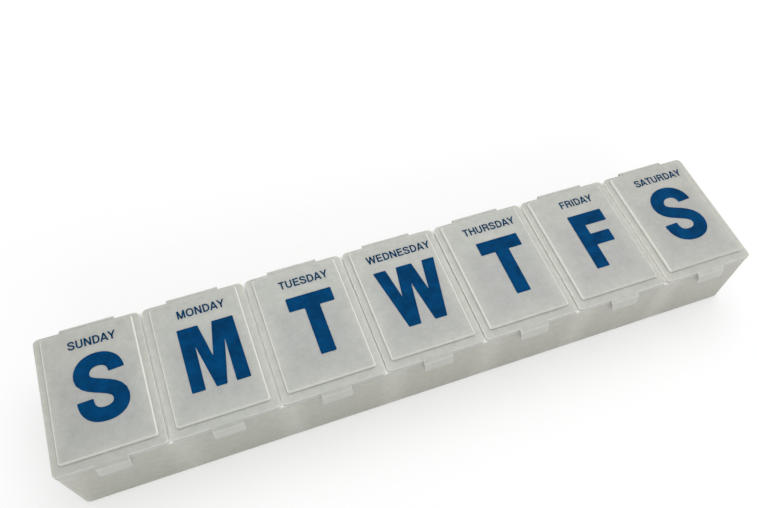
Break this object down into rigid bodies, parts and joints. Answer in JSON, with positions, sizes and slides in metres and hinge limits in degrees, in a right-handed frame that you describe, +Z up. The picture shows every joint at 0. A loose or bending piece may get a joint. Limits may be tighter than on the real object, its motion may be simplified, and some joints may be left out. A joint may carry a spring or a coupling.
{
  "type": "weekly pill box",
  "caption": "Long shallow pill box: a tray of equal compartments, each closed by its own snap lid with a raised panel, a latch tab in front and a living hinge behind.",
  "frame": {"origin": "middle of the tray's flat underside", "axes": "+X along the row of compartments from Sunday to Saturday, +Y from the latch tabs to the hinges, +Z up"},
  "size_m": [0.21, 0.0458, 0.0248],
  "materials": {
    "tray_plastic": "natural translucent polypropylene, moulded with a soft frosted sheen",
    "lid_plastic": "natural translucent polypropylene, moulded with a soft frosted sheen",
    "hinge_plastic": "thin flexed polypropylene web, paler at the fold"
  },
  "bodies": {
    "tray": {"tray": "tray_plastic", "sunday_hinge": "hinge_plastic", "monday_hinge": "hinge_plastic", "tuesday_hinge": "hinge_plastic", "wednesday_hinge": "hinge_plastic", "thursday_hinge": "hinge_plastic", "friday_hinge": "hinge_plastic", "saturday_hinge": "hinge_plastic"},
    "sunday_lid": {"sunday_lid": "lid_plastic"},
    "monday_lid": {"monday_lid": "lid_plastic"},
    "tuesday_lid": {"tuesday_lid": "lid_plastic"},
    "wednesday_lid": {"wednesday_lid": "lid_plastic"},
    "thursday_lid": {"thursday_lid": "lid_plastic"},
    "friday_lid": {"friday_lid": "lid_plastic"},
    "saturday_lid": {"saturday_lid": "lid_plastic"}
  },
  "joints": [
    {"name": "sunday_lid_hinge", "type": "hinge", "parent": "tray", "child": "sunday_lid", "pos_m": [-0.09, 0.02255, 0.0227], "axis": [-1, 0, 0], "range_deg": [0, 175], "deforming": ["sunday_hinge"]},
    {"name": "monday_lid_hinge", "type": "hinge", "parent": "tray", "child": "monday_lid", "pos_m": [-0.06, 0.02255, 0.0227], "axis": [-1, 0, 0], "range_deg": [0, 175], "deforming": ["monday_hinge"]},
    {"name": "tuesday_lid_hinge", "type": "hinge", "parent": "tray", "child": "tuesday_lid", "pos_m": [-0.03, 0.02255, 0.0227], "axis": [-1, 0, 0], "range_deg": [0, 175], "deforming": ["tuesday_hinge"]},
    {"name": "wednesday_lid_hinge", "type": "hinge", "parent": "tray", "child": "wednesday_lid", "pos_m": [0, 0.02255, 0.0227], "axis": [-1, 0, 0], "range_deg": [0, 175], "deforming": ["wednesday_hinge"]},
    {"name": "thursday_lid_hinge", "type": "hinge", "parent": "tray", "child": "thursday_lid", "pos_m": [0.03, 0.02255, 0.0227], "axis": [-1, 0, 0], "range_deg": [0, 175], "deforming": ["thursday_hinge"]},
    {"name": "friday_lid_hinge", "type": "hinge", "parent": "tray", "child": "friday_lid", "pos_m": [0.06, 0.02255, 0.0227], "axis": [-1, 0, 0], "range_deg": [0, 175], "deforming": ["friday_hinge"]},
    {"name": "saturday_lid_hinge", "type": "hinge", "parent": "tray", "child": "saturday_lid", "pos_m": [0.09, 0.02255, 0.0227], "axis": [-1, 0, 0], "range_deg": [0, 175], "deforming": ["saturday_hinge"]}
  ]
}
